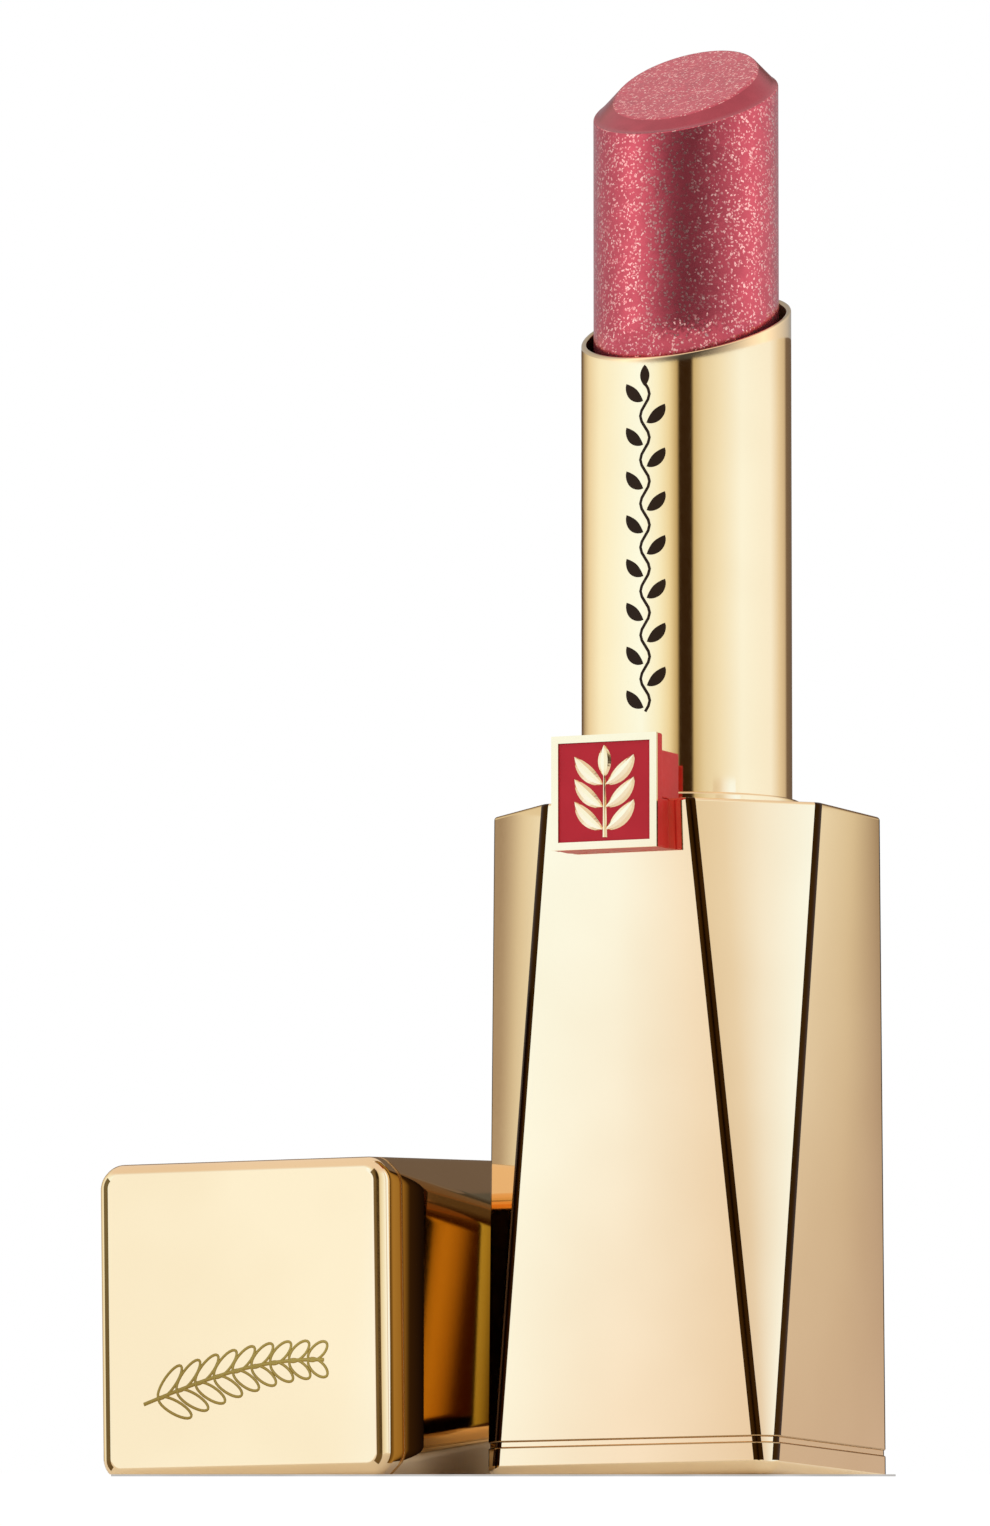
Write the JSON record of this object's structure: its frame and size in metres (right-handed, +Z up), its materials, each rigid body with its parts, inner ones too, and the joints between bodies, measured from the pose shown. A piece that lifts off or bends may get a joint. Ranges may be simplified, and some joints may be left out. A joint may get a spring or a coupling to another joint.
{
  "type": "lipstick case",
  "caption": "Faceted gold twist-up lipstick case with a slanted tube, rose bullet, square red emblem and its cap lying beside it.",
  "frame": {"origin": "on the swivel axis, in the plane of the base's foot", "axes": "+Z up the swivel axis; -Y out of the face that carries the emblem; the cap lies on the -X side"},
  "size_m": [0.0466, 0.0402, 0.0945],
  "materials": {
    "gold_case": "bright gold anodised, polished",
    "gold_tube": "bright gold anodised, polished",
    "gold_emblem": "polished",
    "red_plastic": "glossy moulding",
    "red_enamel": "glossy enamel",
    "lip_colour": "rose wax with fine glitter",
    "cup_plastic": "moulded",
    "guide_plastic": "moulded",
    "spiral_plastic": "moulded",
    "chassis_plastic": "moulded",
    "liner_plastic": "moulded",
    "bearing_plastic": "low-friction ring",
    "drag_rubber": "greased ring",
    "ballast_steel": "turned",
    "magnet_nickel": "nickel plated",
    "label_film": "printed film, blank"
  },
  "bodies": {
    "base": {"base_shell": "gold_case", "base_seam_band": "gold_case", "base_end_plate": "gold_case", "shade_label": "label_film", "base_weight": "ballast_steel", "base_chassis": "chassis_plastic", "base_deck": "gold_case", "base_collar": "gold_case", "base_magnets": "magnet_nickel", "spiral_sleeve": "spiral_plastic", "thrust_washer": "bearing_plastic", "top_bearing_ring": "bearing_plastic", "emblem_carrier": "red_plastic", "emblem_frame": "gold_emblem", "emblem_enamel": "red_enamel", "emblem_relief": "gold_emblem", "emblem_pins": "ballast_steel"},
    "swivel": {"tube_shell": "gold_tube", "guide_tube": "guide_plastic", "friction_ring": "drag_rubber"},
    "carrier": {"bullet_cup": "cup_plastic", "bullet": "lip_colour"},
    "cap": {"cap_shell": "gold_case", "cap_seam_band": "gold_case", "cap_end_plate": "gold_case", "cap_liner": "liner_plastic", "cap_rim_ring": "liner_plastic", "cap_magnets": "magnet_nickel", "cap_spacer": "liner_plastic", "cap_weight": "ballast_steel"}
  },
  "joints": [
    {"name": "swivel", "type": "hinge", "parent": "base", "child": "swivel", "pos_m": [0, 0, 0], "axis": [0, 0, 1], "range_deg": [-540, 0]},
    {"name": "bullet_lift", "type": "slide", "parent": "swivel", "child": "carrier", "axis": [0, 0, 1], "range_m": [-0.01801, 0.00001]},
    {"name": "cap_lift", "type": "slide", "parent": "base", "child": "cap", "axis": [0, 0, 1], "range_m": [0, 0.1]}
  ],
  "couplings": [
    {"joint": "bullet_lift", "follows": "swivel", "m_per_rad": 0.0019099}
  ]
}
